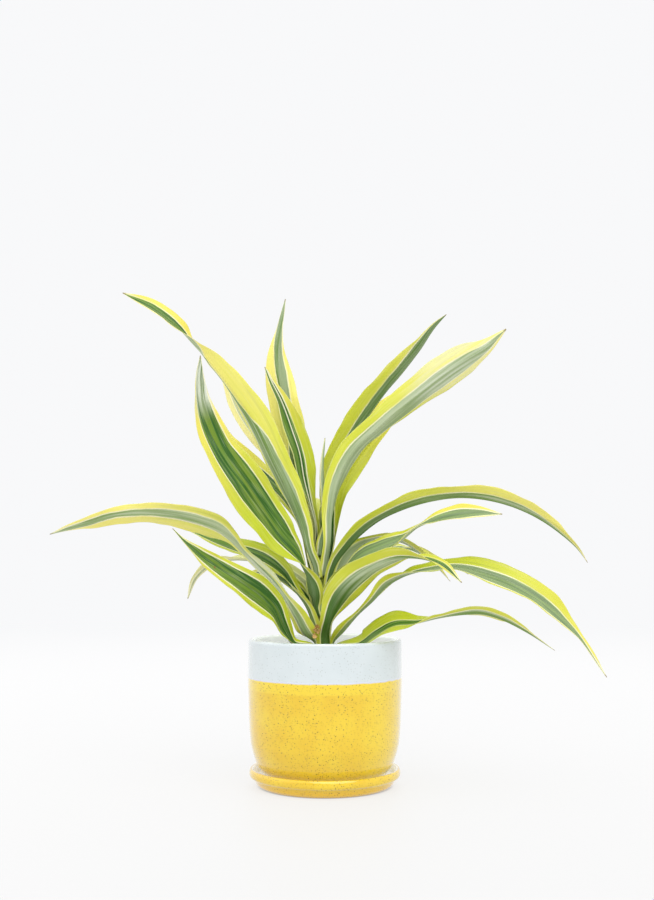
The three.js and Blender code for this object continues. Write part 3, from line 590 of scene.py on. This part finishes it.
# From the lowest leaf to the youngest. Its foot faces a direction in degrees, at a height, and phase
# sets its waves apart. Band rows are a share of the length and the green band's two edges, -1 to 1
# across the leaf. Rows are x, y, z, width, roll and cup
leaves = {
    "leaf_right_low": {"foot": [322, 103.5], "phase": 0.4, "sheath": [9, 40],
        "look": {"tone": [0.5, 1.5], "shadeNearStem": 0.5},
        "band": [[0, -0.4, 0.35], [0.38, -0.34, 0.1], [0.5, -0.3, 0.4], [0.7, -0.35, 0.5],
        [1, -0.4, 0.6]],
        "rows": [[29, -23, 116, 36, -32, 25], [42, -31, 126, 38, -38, 20], [55, -38, 134, 32, -34, 20],
        [73.5, -46, 137, 22, -26, 20], [91, -52, 141.5, 13, -5, 20], [109, -58, 144.5, 18, 20, 20],
        [124.5, -62, 145.5, 20, 30, 20], [140, -66, 141, 18, 30, 20], [157, -69, 132.5, 12, 30, 20],
        [180.5, -72, 117, 1, 25, 20]]},
    "leaf_left_low": {"foot": [232, 104.5], "phase": 1.9, "sheath": [9, 40],
        "look": {"tone": [0.25, 1.6], "olive": 0.35, "blemish": [139.8, -1.7]},
        "band": [[0, -0.5, 0.5], [0.3, -0.6, 0.6], [0.7, -0.62, 0.66], [1, -0.6, 0.6]],
        "rows": [[-25, -19, 117, 18, 40, 34], [-35, -26, 131, 24, 74, 26], [-42, -33, 147, 28, 82, 22],
        [-53, -43, 159, 28, 90, 18], [-65, -54, 168, 26, 90, 18], [-82, -67, 180, 20, 86, 18],
        [-99, -79, 192.5, 12, 80, 18], [-109, -86, 201.5, 6, 70, 20], [-118, -92, 212, 1, 60, 20]]},
    "leaf_right_drooping": {"foot": [352, 107], "phase": 3.1, "sheath": [9, 40],
        "look": {"tone": [0.35, 1.2], "paleBand": 0.4, "shadeNearStem": 0.6},
        "band": [[0, -0.4, 0.4], [0.3, -0.35, 0.5], [0.5, -0.28, 0.8], [0.8, -0.25, 0.85],
        [1, -0.3, 0.6]],
        "rows": [[16, -11, 129, 17, 20, 40], [27, -16, 142, 9, 15, 40], [39.5, -22, 154, 13, 22, 36],
        [51, -26, 166, 18, 26, 32], [65, -30, 174.5, 17, 4, 30], [85.5, -34, 180, 17, -25, 25],
        [107, -38, 182, 23, -32, 22], [131.5, -41, 177, 27, -40, 20], [155.5, -44, 168, 28, -45, 20],
        [179.5, -46, 153, 23, -45, 20], [201, -48, 131, 12, -40, 20], [226, -50, 94, 1, -30, 20]]},
    "leaf_left_arching": {"foot": [172, 109], "phase": 4.4,
        "look": {"tone": [0.25, 0.8], "paleBand": 0.35, "shadeNearStem": 0.2, "whiten": [0.2, 0.37, 0.75]},
        "band": [[0, -0.45, 0.35], [0.3, -0.5, 0.1], [0.5, -0.58, 0.0], [0.8, -0.55, -0.05],
        [1, -0.6, 0.2]],
        "rows": [[-15, -5, 124, 20, -50, 38], [-24, -9, 139, 20, -60, 32],
        [-34, -13, 156, 11, -55, 32], [-46, -16, 171, 14, -55, 30], [-58, -18, 183, 12, -45, 30],
        [-70, -20, 195, 13, -42, 30], [-79, -21.5, 204, 20, -50, 26], [-88, -23, 210.5, 26, -56, 24],
        [-104, -25, 217, 27, -52, 22], [-119, -28, 221, 28, -48, 22], [-137, -30, 223.5, 27, -46, 22],
        [-163, -33, 223.5, 20, -44, 22], [-180, -35, 221, 19, -42, 22], [-193, -37, 217, 17, -40, 22],
        [-207, -39, 213.5, 11, -30, 26], [-225.5, -40, 208.5, 1, -15, 30]]},
    "leaf_front_lime": {"foot": [286, 113], "phase": 5.6,
        "look": {"tone": [0.45, 1.4], "shadeNearStem": 0.9},
        "band": [[0, -0.75, 0.55], [0.3, -0.5, 0.42], [0.6, -0.5, 0.3], [1, -0.5, 0.3]],
        "rows": [[3, -16, 138, 15, 0, 40], [9, -21, 152, 24, 14, 28], [17, -28, 163.5, 29, 22, 24],
        [29, -36, 174.5, 28, 22, 26], [44, -46, 183.5, 25, 20, 28], [60, -55, 189, 23, 14, 28],
        [76, -62, 189, 21, 12, 26], [92, -69, 184, 14, 14, 22], [107.5, -76, 170, 1, 10, 22]]},
    "leaf_back_low_left": {"foot": [120, 117], "phase": 0.9,
        "look": {"tone": [0.4, 1.3]},
        "rows": [[-13, 15, 148, 16, 0, 45], [-28, 26, 164, 21, 5, 34], [-50, 42, 174, 22, 8, 28],
        [-70, 54, 174, 15, 8, 26], [-85, 62, 168, 1, 8, 26]]},
    "leaf_back_low_right": {"foot": [36, 113], "phase": 2.2,
        "look": {"tone": [0.4, 1.3]},
        "rows": [[9, 15, 148, 17, 0, 45], [24, 28, 172, 21, -5, 34], [46, 47, 190, 22, -8, 30],
        [72, 65, 198, 22, -8, 28], [97, 80, 189, 18, -8, 28], [118, 91, 183, 11, -8, 28],
        [134, 98, 174, 1, -8, 28]]},
    "leaf_left_middle": {"foot": [208, 122], "phase": 3.6,
        "look": {"tone": [0.6, 1.6], "shadeNearStem": 0.5},
        "band": [[0, -0.45, 0.5], [0.35, -0.5, 0.4], [0.6, -0.55, 0.35], [1, -0.4, 0.4]],
        "rows": [[-16, -3, 149, 14, 14, 46], [-27, 0, 164, 15, 45, 34], [-36, 3, 177, 19, 66, 26],
        [-48, 7, 187, 22, 66, 22], [-62, 11, 193.5, 24, 58, 22], [-81, 16, 199, 24, 45, 22],
        [-98.5, 19, 205, 18, 42, 22], [-113.5, 22, 211, 10, 40, 22], [-127, 25, 216.5, 1, 38, 22]]},
    "leaf_right_behind": {"foot": [21, 128], "phase": 4.9,
        "look": {"tone": [0.5, 1.3], "paleBand": 0.75},
        "band": [[0, -0.7, 0.7], [0.5, -0.75, 0.75], [0.75, -0.5, 0.4], [1, -0.3, 0.3]],
        "rows": [[8.5, 8, 158, 15, 16, 48], [15.5, 12.5, 176, 23, 48, 36], [24, 15, 189, 26, 56, 28],
        [38, 16, 198.5, 25, 44, 26], [55, 17, 205, 24, 14, 28], [69, 18, 202, 22, -16, 30],
        [83, 20, 193, 18, -22, 32], [97, 22, 182, 11, -22, 34], [109, 23, 169, 1, -20, 34]]},
    "leaf_left_thin": {"foot": [114, 131], "phase": 6.1,
        "look": {"tone": [0.3, 1.2], "pale": 0.45}, "band": [[0, -0.4, 0.4], [1, -0.3, 0.3]],
        "rows": [[-15, 18, 164, 13, 0, 46], [-40, 32, 181, 16, 0, 38], [-67, 44, 187, 16, 0, 35],
        [-88, 55, 187, 14, 0, 35], [-107, 66, 181, 11, 0, 35], [-119.5, 73, 169, 7, 0, 35],
        [-126, 78, 152, 1, 0, 35]]},
    "leaf_back_middle": {"foot": [76, 141], "phase": 1.3,
        "look": {"tone": [0.3, 1.1]},
        "rows": [[-3, 17, 171, 14, 0, 46], [-2, 31, 196, 20, 0, 36], [0, 52, 220, 25, 0, 30],
        [2, 80, 238, 26, 0, 26], [3, 112, 243, 25, 0, 25], [4, 145, 234, 20, 0, 25],
        [5, 170, 214, 12, 0, 25], [6, 186, 192, 1, 0, 25]]},
    "leaf_right_twisted": {"foot": [318, 142], "phase": 2.7,
        "look": {"tone": [0.25, 1.0], "paleBand": 0.35},
        "band": [[0, -0.9, 0.8], [0.3, -0.85, 0.6], [0.55, -0.6, 0.7], [0.75, -0.5, 0.85],
        [1, -0.5, 0.6]],
        "rows": [[9, -11, 168, 15, -5, 50], [17, -15, 178, 18, -22, 40], [29.5, -20, 189, 24, -38, 28],
        [44.5, -26, 196, 27, -46, 25], [61, -32, 202.5, 25, -42, 25], [77, -38, 215, 9, -20, 25],
        [91, -43, 220.5, 19, -42, 25], [106, -47, 224, 21, -48, 25], [124.5, -51, 225.5, 13, -48, 25],
        [143.5, -54, 224.5, 1, -44, 25]]},
    "leaf_left_broad": {"foot": [212, 140], "phase": 4.0,
        "look": {"tone": [0.38, 0.85], "olive": 0.5, "shadeNearStem": 0.8, "whiten": [0.83, 0.99, 0.8]},
        "band": [[0, -0.75, 0.7], [0.3, -0.25, 0.72], [0.5, -0.42, 0.66], [0.75, -0.5, 0.72],
        [0.9, -0.6, 0.85], [1, -0.4, 0.9]],
        "rows": [[-9.5, -9, 158, 17, -30, 50], [-12, -12.5, 168, 18, -24, 46],
        [-16, -15.5, 177, 15, 6, 40], [-20, -18, 185, 13, 46, 34], [-26, -21.5, 193, 21, 68, 26],
        [-36.5, -27, 204, 32, 78, 20], [-49, -34, 221.5, 40, 80, 18], [-68, -45, 249, 43, 80, 18],
        [-88.5, -54, 280.5, 34, 76, 18], [-100.5, -58, 311, 23, 72, 22], [-103, -60, 338, 11, 65, 30],
        [-101.5, -60, 353.5, 1, 60, 30]]},
    "leaf_right_arching": {"foot": [352, 151], "phase": 5.3,
        "look": {"tone": [0.25, 0.8], "shadeNearStem": 0.85},
        "band": [[0, -0.9, 0.7], [0.3, -0.85, 0.5], [0.7, -0.7, 0.45], [0.9, -0.6, 0.35],
        [1, -0.4, 0.3]],
        "rows": [[9, -6, 184, 17, 5, 54], [18.5, -9, 197, 21, 8, 50], [29.5, -11, 208.5, 25, 9, 46],
        [46.5, -13, 221.5, 28, 10, 44], [63.5, -15, 229.5, 29, 10, 44], [88.5, -17, 237, 29, 11, 43],
        [113.5, -20, 240, 29, 12, 43], [138, -22, 237.5, 29, 12, 43], [171, -25, 226, 27, 14, 42],
        [196, -27, 209.5, 12, 7, 40], [209.5, -29, 196.5, 7, 4, 38], [217, -30, 185.5, 1, 0, 38]]},
    "leaf_back_left": {"foot": [128, 149], "phase": 0.2,
        "look": {"tone": [0.2, 0.9]},
        "rows": [[-13, 15, 184, 14, 0, 46], [-17, 26, 208, 17, 4, 40], [-30, 42, 235, 22, 8, 32],
        [-57, 60, 263, 25, 12, 28], [-88, 76, 290, 23, 14, 26], [-107, 88, 318, 16, 14, 26],
        [-116, 96, 340, 9, 14, 26], [-118, 100, 356, 1, 14, 26]]},
    "leaf_back_right": {"foot": [85, 157], "phase": 1.6,
        "look": {"tone": [0.2, 0.9]},
        "rows": [[-2, 14, 190, 13, 0, 46], [2, 25, 214, 15, 0, 44], [7, 35, 242, 18, -4, 36],
        [16, 47, 270, 23, -8, 30], [38, 62, 302, 26, -10, 26], [66, 78, 331, 24, -12, 26],
        [92, 92, 347, 18, -12, 26], [115, 102, 358, 11, -12, 26], [132, 110, 368, 1, -12, 26]]},
    "leaf_left_pale": {"foot": [155, 165.5], "phase": 2.9,
        "look": {"tone": [0.0, 0.5], "pale": 0.4, "paleBand": 0.5},
        "band": [[0, -0.5, 0.5], [0.5, -0.3, 0.6], [1, -0.3, 0.5]],
        "rows": [[-14.5, 9.5, 192, 12, 8, 50], [-16, 15, 212, 16, 20, 40], [-25, 26, 243, 22, 28, 34],
        [-43, 36, 278, 27, 35, 30], [-65.5, 40, 304, 28, 38, 30], [-75, 42, 318, 24, 40, 30],
        [-86.5, 45, 343, 14, 40, 30], [-97, 47, 363, 1, 40, 30]]},
    "leaf_right_waved": {"foot": [33, 167], "phase": 4.2, "wave": 2.0,
        "look": {"tone": [0.35, 1.2]}, "band": [[0, -0.6, 0.4], [0.4, -0.8, -0.5], [1, -0.8, -0.6]],
        "rows": [[7.5, 5, 202, 10, -5, 46], [10, 7, 224, 13, -18, 36], [14, 8, 246, 18, -32, 25],
        [24, 9.5, 266, 20, -38, 25], [36, 11, 283, 19, -38, 25], [48, 12, 298, 15, -38, 25],
        [58, 13, 309, 8, -38, 25], [66, 14, 318, 1, -38, 25]]},
    "leaf_left_tall": {"foot": [212, 172], "phase": 5.5, "wave": 0.9,
        "look": {"tone": [0.25, 0.75], "shadeNearStem": 0.35, "olive": 0.3},
        "band": [[0, -0.6, 0.6], [0.25, -0.5, 0.7], [0.42, -0.3, 0.7], [0.55, 0.35, 0.75],
        [0.68, 0.5, 0.8], [0.76, -0.85, 0.4], [1, -0.8, 0.3]],
        "rows": [[-15, -7.5, 197, 14, -5, 52], [-20, -10.5, 216, 19, -18, 48],
        [-29, -14, 240, 24, -28, 44], [-45.5, -18, 275, 29, -32, 42], [-62, -22, 308, 30, -28, 42],
        [-79.5, -25, 333, 27, -20, 40], [-97, -28, 354, 20, -8, 34], [-111, -30, 369, 15, 15, 28],
        [-124, -32, 383, 18, 58, 22], [-145, -34, 399.5, 16, 66, 22], [-170, -35, 411, 1, 66, 22]]},
    "leaf_right_broad": {"foot": [335, 174], "phase": 0.7, "wave": 0.9,
        "look": {"tone": [0.45, 0.95], "paleBand": 0.5, "whiten": [0.66, 0.95, 0.35]},
        "band": [[0, -0.9, 0.6], [0.25, -1.1, 0.45], [0.5, -0.95, 0.38], [0.7, -0.62, 0.3],
        [0.92, -0.55, 0.32], [1, -0.3, 0.4]],
        "rows": [[4, -8.5, 204, 12, 8, 50], [5, -11, 226, 16, 22, 48], [10.5, -13, 254, 22, 34, 44],
        [23, -15, 278, 24, 38, 42], [45, -17, 299.5, 25, 40, 40], [72, -18, 322, 29, 46, 34],
        [103, -19, 346, 32, 54, 26], [122.5, -20, 359, 26, 58, 22], [134, -20, 366, 17, 60, 22],
        [154, -21, 383, 1, 60, 22]]},
    "leaf_upright": {"foot": [165, 178], "phase": 2.0,
        "look": {"tone": [0.1, 0.7], "shadeNearStem": 0.5, "shadeAlong": 0.35},
        "band": [[0, -0.5, 0.5], [0.35, -0.5, 0.2], [0.55, -0.45, -0.05], [0.8, -0.7, 0.1],
        [0.9, -0.9, 0.6], [1, -1, 0.9]],
        "rows": [[-15, 3, 204, 11, -15, 48], [-20, 6, 226, 14, -40, 42], [-26, 8, 255, 20, -75, 32],
        [-33, 9, 305, 30, -90, 25], [-38, 9, 328, 29, -88, 22], [-41.5, 9, 347, 26, -88, 22],
        [-43.5, 10, 367, 18, -85, 26], [-41, 10, 388, 8.5, -80, 28], [-35, 10, 416, 1, -60, 30]]},
    "leaf_right_tall": {"foot": [45, 182], "phase": 3.3, "wave": 0.6,
        "look": {"tone": [0.45, 1.2], "shadeNearStem": 0.9, "shadeAlong": 0.6},
        "band": [[0, -0.8, 0.7], [0.25, -0.7, 0.3], [0.5, -0.6, 0.36], [0.75, -0.6, 0.45],
        [0.88, -0.8, 0.8], [1, -0.9, 0.9]],
        "rows": [[-0.5, 9, 212, 11, 15, 46], [0, 14, 230, 17, 42, 44], [4, 18.5, 252, 24, 62, 42],
        [13, 20.5, 276, 31, 68, 40], [28, 21.5, 301, 35, 70, 38], [53, 22, 336, 33, 68, 38],
        [84, 22, 373, 23, 60, 38], [98, 23, 394, 11, 50, 38], [108, 23, 405, 1, 45, 38]]},
    "leaf_folded": {"foot": [152, 187], "phase": 4.6, "wave": 0.7,
        "look": {"tone": [0.35, 1.2], "midline": 0.9},
        "band": [[0, -0.6, 0.5], [0.3, -0.85, 0.35], [0.7, -0.88, 0.3], [1, -0.7, 0.5]],
        "rows": [[-8.5, 2, 214, 9, 5, 52], [-14, 0.5, 238, 13, 12, 46], [-18.5, -1, 256, 22, 20, 40],
        [-22.5, -2.5, 278.5, 26, 25, 36], [-29.5, -4, 300, 24, 28, 36], [-38, -5, 323, 15, 30, 38],
        [-47.5, -5, 342, 7, 30, 40], [-52, -5, 353, 1, 30, 40]]},
    "leaf_bud": {"foot": [298, 191], "phase": 5.9, "wave": 0.3,
        "look": {"tone": [0.5, 1.5]}, "band": [[0, -0.6, 0.6], [1, -0.6, 0.6]],
        "rows": [[0.5, -2.5, 218, 6, 0, 50], [-1, -3, 242, 6, 0, 50], [-2, -2, 266, 5, 0, 50],
        [0, -1, 292, 1, 0, 50]]},
}


for name, leaf in leaves.items():
    leafPiece(name, leaf)
print("leaves made:", len(leaves))


# Stem
bark = {
    "rings": 420, "sides": 64, "scarEvery": 4.6, "scarDepth": 0.4,
    "pale": tint(150, 150, 74), "dark": tint(116, 96, 52), "spot": tint(84, 62, 36),
    "young": tint(150, 166, 52), "youngFrom": (128, 150),    # greener above these heights
}


def stemPaint():
    paint = Paint("stemBark", {"IOR": 1.45})
    place = paint.place()
    x, y, height = paint.inMillimetres(place)
    rings = paint.noise(paint.joined(x * 0.02, y * 0.02, height * 0.55), 1.0, 3)
    spots = paint.noise(place, 900, 3)
    colour = paint.mix(paint.smooth(rings, 0.35, 0.65), bark["pale"], bark["dark"])
    colour = paint.mix(paint.smooth(height, *bark["youngFrom"]), colour, bark["young"])
    colour = paint.mix(paint.smooth(spots, 0.5, 0.75) * 0.5, colour, bark["spot"])
    paint.show("Base Color", colour)
    paint.show("Roughness", 0.55 + spots * 0.3)
    paint.bump(rings * 0.7 + spots * 0.3, 0.0006, 0.8)
    return paint.material


def stemSurface():
    # A tapering round stem, rounded off at both ends; its radius steps in under each leaf scar, a
    # saw-tooth of the height
    height = np.linspace(build["stemBottom"], build["stemTop"], bark["rings"])[:, None]
    angle = circle(bark["sides"])
    tooth = (height / bark["scarEvery"] + 0.12 * np.sin(3 * angle)) % 1
    radius = stemRadiusAt(height) - 0.5 + bark["scarDepth"] * tooth ** 2
    radius = radius + 0.08 * np.sin(7 * angle + height / 3)
    radius = radius * np.clip((build["stemTop"] - height) / 3, 0, 1) ** 0.5
    radius = radius * np.clip((height - build["stemBottom"]) / 1.5, 0, 1) ** 0.5
    return aroundAxis(radius, angle, height, stemAxis(height))


stemFaces = gridFaces(bark["rings"], bark["sides"])
meshPiece("stemFine", stemSurface(), stemFaces, stemPaint(), node="stem", slot="stem_bark")
print("stem made")


def roughPaint(name, look):
    # Layers of colour over a base. A layer is a noise's scale, detail and roughness, the two values
    # that it shows between, how much, and its colour. The finest also gives roughness and relief
    paint = Paint(name, {"IOR": look["ior"]})
    colour, place = look["base"], paint.place()
    finest = max(layer[0] for layer in look["layers"])
    for scale, detail, jagged, low, high, amount, tone in look["layers"]:
        spread = paint.noise(place, scale, detail, jagged)
        colour = paint.mix(paint.smooth(spread, low, high) * amount, colour, tone)
        if scale == finest:
            grain = spread
    paint.show("Base Color", colour)
    paint.show("Roughness", look["roughness"] + grain * look["roughnessSpread"])
    paint.bump(grain, *look["relief"])
    return paint.material


# Dry scales left by old leaves, low on the front of the stem. Each spot is x, y, z and a heading
scales = {
    "spots": [(-9, -10.5, 128, 40), (-6.5, -11, 130.5, 100), (-4.5, -11, 127.5, 160),
              (-7.5, -11, 125, 220), (2.5, -9.5, 148, 80), (4.5, -9.5, 147.5, 10)],
    "length": 6.2, "width": 4.4, "curl": 1.9, "thickness": 0.25, "rows": 14, "across": 11,
    "base": tint(232, 200, 132), "layers": [(1400, 3, 0.5, 0.35, 0.7, 1, tint(176, 116, 58))],
    "ior": 1.45, "roughness": 0.6, "roughnessSpread": 0.3, "relief": (0.0003, 0.7),
}


def scaleSurface(x, y, z, heading):
    # A pointed flake: the width shrinks along its length, and the flake bends up in a circle
    a = np.linspace(0, 1, scales["rows"])[:, None]
    b = np.linspace(-1, 1, scales["across"])[None, :]
    bend = a * scales["curl"]
    radius = scales["length"] / scales["curl"]
    wide = scales["width"] / 2 * (1 - 0.96 * a ** 1.6) * b
    rise = radius * (1 - np.cos(bend)) + 0.6 * b ** 2 * (1 - a)
    dx, dz = turned(radius * np.sin(bend) + 0 * b, wide, radians(heading))
    front = np.stack([x + dx, y - rise, z + dz], -1)
    back = front + np.array([0, scales["thickness"], 0])
    return np.concatenate([front, back[:, ::-1]], 1)


def repeated(faces, points):
    # The same faces for each of several alike pieces, whose points are an array with one row each
    each = points[0].size // 3
    return np.vstack([faces + each * i for i in range(len(points))])


scalePoints = np.array([scaleSurface(*spot) for spot in scales["spots"]])
oneScale = strapFaces(scales["rows"], 2 * scales["across"])[:, ::-1]
husk = roughPaint("scaleHusk", scales)
meshPiece("dryScales", scalePoints, repeated(oneScale, scalePoints), husk, slot="stem_bark")
print("scales made")


# Soil
soil = {
    "radius": 60.4, "top": 103, "settled": 1.2, "edgeFall": 2.0, "rings": 130, "sides": 260,
    "hills": (26, 14, 7.5, 4.2, 2.6), "hillHeight": 0.018, "hillSeed": 11,
    "wall": [(60.4, 86), (59.6, 60), (57.6, 36.2), (53.6, 22.2), (46.7, 13.3), (41.7, 10.9),
             (0, 10.9)],
    "base": tint(46, 33, 24), "layers": [
        (700, 4, 0.7, 0.35, 0.7, 1, tint(104, 78, 56)), (130, 3, 0.5, 0.55, 0.7, 0.5, tint(140, 112, 82))],
    "ior": 1.4, "roughness": 0.8, "roughnessSpread": 0.2, "relief": (0.0012, 0.9),
}


def edgeFall(radius):
    return soil["edgeFall"] * (radius / soil["radius"]) ** 6


def soilSurface():
    # A flat bed with hills, sums of waves in x and y, that falls off at the pot's wall; then down
    # the wall and in to the middle of the pot's floor
    radius, angle = np.linspace(0, soil["radius"], soil["rings"])[:, None], circle(soil["sides"])
    x, y = radius * np.cos(angle), radius * np.sin(angle)
    rng = np.random.default_rng(soil["hillSeed"])
    hills = 0 * x
    for size in soil["hills"]:
        headings, shifts = rng.uniform(0, 2 * pi, (2, 6))[0], rng.uniform(0, 2 * pi, 6)
        for heading, shift in zip(headings, shifts):
            along = x * np.cos(heading) + y * np.sin(heading)
            hills = hills + size * soil["hillHeight"] * np.sin(along * 6 / size + shift)
    bed = aroundAxis(radius, angle, soil["top"] - soil["settled"] + hills - edgeFall(radius))
    wall = np.array(soil["wall"])
    return np.concatenate([bed, aroundAxis(wall[:, :1], angle, wall[:, 1:])])


soilPoints = soilSurface()
soilFaces = gridFaces(len(soilPoints), soil["sides"])[:, ::-1]
earth = roughPaint("soilCrumbs", soil)
meshPiece("soilBed", soilPoints, soilFaces, earth, node="soil", slot="soil")


# Crumbs of bark and grit on the soil. Flat is how thick they are for their length
crumbs = {
    "bark": {"count": 420, "size": (1.6, 3.8), "flat": (0.3, 0.6), "seed": 17, "skin": "barkChips",
             "base": tint(92, 62, 40), "pale": tint(150, 112, 78)},
    "grit": {"count": 360, "size": (0.8, 1.7), "flat": (0.6, 1.0), "seed": 23, "skin": "gritGrains",
             "base": tint(150, 140, 124), "pale": tint(208, 200, 186)},
}
lump = {
    "sides": 8, "levels": [0, pi / 4, pi / 2, 3 * pi / 4, pi], "rough": 0.22, "dirt": tint(58, 40, 28),
    "ior": 1.4, "roughness": 0.7, "roughnessSpread": 0.3, "relief": (0.0003, 0.8),
}


def crumbSurface(kind):
    # Rough eight-sided lumps: unit spheres of three rings between two poles, each point moved in
    # or out at random, stretched, turned and set on the bed
    rng = np.random.default_rng(kind["seed"])
    count = kind["count"]
    radius = (soil["radius"] - 3) * np.sqrt(rng.uniform(0.02, 1, count))
    angle = rng.uniform(0, 2 * pi, count)
    size = rng.uniform(*kind["size"], count)[:, None, None]
    spin, lean = rng.uniform(0, 2 * pi, count), rng.uniform(-0.5, 0.5, count)
    polar, around = np.array(lump["levels"])[:, None], circle(lump["sides"])
    ball = aroundAxis(np.sin(polar), around, np.cos(polar)).reshape(1, -1, 3)
    inOrOut = rng.standard_normal((count, ball.shape[1], 1))
    points = np.repeat(ball, count, 0) * (1 + lump["rough"] * inOrOut)
    points[:, :lump["sides"]], points[:, -lump["sides"]:] = (0, 0, 1), (0, 0, -1)
    stretch = [1 + 0 * spin, rng.uniform(0.45, 0.9, count), rng.uniform(*kind["flat"], count)]
    points = points * np.stack(stretch, -1)[:, None] * size / 2
    x, z = turned(points[..., 0], points[..., 2], lean[:, None])
    x, y = turned(x, points[..., 1], spin[:, None])
    bed = soil["top"] - 1.0 - edgeFall(radius) + rng.uniform(-0.3, 0.5, count)
    return np.stack([x, y, z], -1) + aroundAxis(radius, angle, bed)[:, None]


for name, kind in crumbs.items():
    crumbPoints = crumbSurface(kind)
    oneCrumb = gridFaces(len(lump["levels"]), lump["sides"])[:, ::-1]
    layers = [(260, 2, 0.5, 0.4, 0.62, 1, kind["pale"]), (2200, 2, 0.5, 0.5, 0.8, 0.5, lump["dirt"])]
    skin = roughPaint(kind["skin"], {**lump, "base": kind["base"], "layers": layers})
    meshPiece(name + "Crumbs", crumbPoints, repeated(oneCrumb, crumbPoints), skin, slot="soil")
print("soil made")


# Floor, fading out far from the plant, and soft light from all round
studio = {
    "floorRadius": 6000, "floorSides": 96, "fade": (700, 2400),
    "floorGrey": (0.12, 0.12, 0.12, 1), "floorGlow": 0.745,
    "underSaucer": (50, 58),      # the glow starts between these radii, so it is dark under the saucer and just past its foot: a painted contact shadow
    "airColour": (0.985, 0.99, 1, 1), "air": 0.955,
    "frontDip": 0.42, "overhead": 0.4,
    "keyStrength": 1.3, "keySize": 60, "keyTurn": (40, 14, 0),
}
floorPaint = Paint("floorPaper", {
    "Specular IOR Level": 0.1, "Base Color": studio["floorGrey"],
    "Emission Strength": studio["floorGlow"]})
floorPlace = floorPaint.place()
floorX, floorY = floorPaint.inMillimetres(floorPlace)[:2]
away = (floorX * floorX + floorY * floorY) ** 0.5
floorPaint.show("Roughness", 0.55 + floorPaint.noise(floorPlace, 400, 2) * 0.1)
# No glow under the saucer and just past its foot: a painted contact shadow
lit = floorPaint.smooth(away, *studio["underSaucer"])
floorPaint.show("Emission Color", floorPaint.mix(lit, black, white))
air = floorPaint.node("Emission", {}, {"Color": studio["airColour"], "Strength": studio["air"]})
paper = Wire(floorPaint, floorPaint.surface.outputs[0])
faded = floorPaint.node("MixShader", {}, {0: floorPaint.smooth(away, *studio["fade"]), 1: paper, 2: air})
floorPaint.feed(floorPaint.tree.nodes["Material Output"].inputs[0], faded)
rim = aroundAxis(studio["floorRadius"], circle(studio["floorSides"])[0], 0)
floorMesh = bpy.data.meshes.new("floor")
floorMesh.from_pydata(rim * mm, [], [list(range(studio["floorSides"]))])
floorMesh.materials.append(floorPaint.material)
floor = bpy.data.objects.new("floor", floorMesh)
bpy.context.scene.collection.objects.link(floor)

# The air is white to the camera. As light it is dimmer from low in front and brighter from
# overhead on the left
world = bpy.data.worlds.new("studio")
bpy.context.scene.world = world
world.use_nodes = True
sky = Mixer(world.node_tree)
right, back, up = sky.parts(sky.node("TexCoord", {}, {}, "Generated"))
front = sky.smooth(0 - back, 0.35, 0.95) * (1 - sky.smooth(up, 0.35, 0.8))
overhead = sky.smooth(up - right * 0.4, 0.1, 1.0)
light = studio["air"] * (1 - front * studio["frontDip"]) + overhead * studio["overhead"]
seen = sky.node("LightPath", {}, {}, "Is Camera Ray")
background = world.node_tree.nodes["Background"]
background.inputs["Color"].default_value = studio["airColour"]
sky.feed(background.inputs["Strength"], light + (studio["air"] - light) * seen)

key = bpy.data.lights.new("key", "SUN")
key.energy = studio["keyStrength"]
key.angle = radians(studio["keySize"])
keyObject = bpy.data.objects.new("key", key)
keyObject.rotation_euler = [radians(turn) for turn in studio["keyTurn"]]
bpy.context.scene.collection.objects.link(keyObject)
bpy.context.scene.view_settings.view_transform = "Standard"
bpy.context.scene.cycles.denoising_prefilter = "FAST"  # keeps the thin leaves free of grain
print("studio made")
